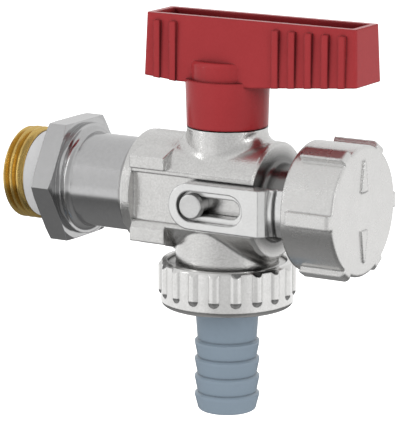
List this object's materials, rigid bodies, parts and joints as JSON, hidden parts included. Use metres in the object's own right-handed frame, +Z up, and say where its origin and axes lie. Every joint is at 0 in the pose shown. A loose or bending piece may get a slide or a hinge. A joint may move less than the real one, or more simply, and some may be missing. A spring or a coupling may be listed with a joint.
{
  "type": "drain cock",
  "caption": "Boiler drain cock: quarter-turn ball valve with a lever, a screw-in inlet, a captive screw cap on a sliding strap, and a barbed hose tail held by a ribbed union nut.",
  "frame": {"origin": "on the pipe axis, at the root of the inlet thread", "axes": "+X along the pipe from the inlet thread towards the cap, +Z up along the stem towards the lever, -Y the side of the strap"},
  "size_m": [0.0876, 0.0312, 0.0886],
  "materials": {
    "nickel_cast": "blasted nickel plate",
    "polished_chrome": "polished plate",
    "polished_strap": "bright plate",
    "nickel_pin": "satin nickel plate",
    "plain_brass": "machined",
    "white_seal": "smooth",
    "polished_ball": "polished plate",
    "red_plastic": "fine moulded grain",
    "grey_plastic": "satin moulded",
    "plated_steel": "zinc plate",
    "black_rubber": "matt"
  },
  "bodies": {
    "valve": {"valve_body": "nickel_cast", "tail_piece": "polished_chrome", "inlet_nipple": "plain_brass", "inlet_seal_ring": "white_seal", "tail_o_ring": "black_rubber", "seat_inlet": "white_seal", "seat_outlet": "white_seal", "stem_thrust_washer": "white_seal", "strap_pin": "nickel_pin"},
    "lever": {"handle": "red_plastic", "stem": "plain_brass", "ball": "polished_ball", "stem_o_ring_lower": "black_rubber", "stem_o_ring_upper": "black_rubber", "handle_washer": "plated_steel", "handle_screw": "plated_steel"},
    "carrier": {"strap": "polished_strap"},
    "cap_set": {"cap": "nickel_cast", "cap_gasket": "black_rubber", "cap_circlip": "plated_steel"},
    "tail_set": {"hose_tail": "grey_plastic", "hose_gasket": "black_rubber"},
    "nut_ring": {"union_nut": "nickel_cast"}
  },
  "joints": [
    {"name": "handle_turn", "type": "hinge", "parent": "valve", "child": "lever", "pos_m": [0.048, 0, 0], "axis": [0, 0, 1], "range_deg": [-90, 0]},
    {"name": "strap_slide", "type": "slide", "parent": "valve", "child": "carrier", "axis": [1, 0, 0], "range_m": [-0.0073, 0]},
    {"name": "cap_spin", "type": "hinge", "parent": "carrier", "child": "cap_set", "pos_m": [0.075, 0, 0], "axis": [1, 0, 0], "range_deg": [-1960, 0]},
    {"name": "tail_slide", "type": "slide", "parent": "valve", "child": "tail_set", "axis": [0, 0, 1], "range_m": [-0.0045, 0]},
    {"name": "nut_spin", "type": "hinge", "parent": "tail_set", "child": "nut_ring", "pos_m": [0.048, 0, -0.02], "axis": [0, 0, 1], "range_deg": [-890, 0]}
  ],
  "couplings": [
    {"joint": "strap_slide", "follows": "cap_spin", "m_per_rad": 0.00021279},
    {"joint": "tail_slide", "follows": "nut_spin", "m_per_rad": 0.00028871}
  ]
}
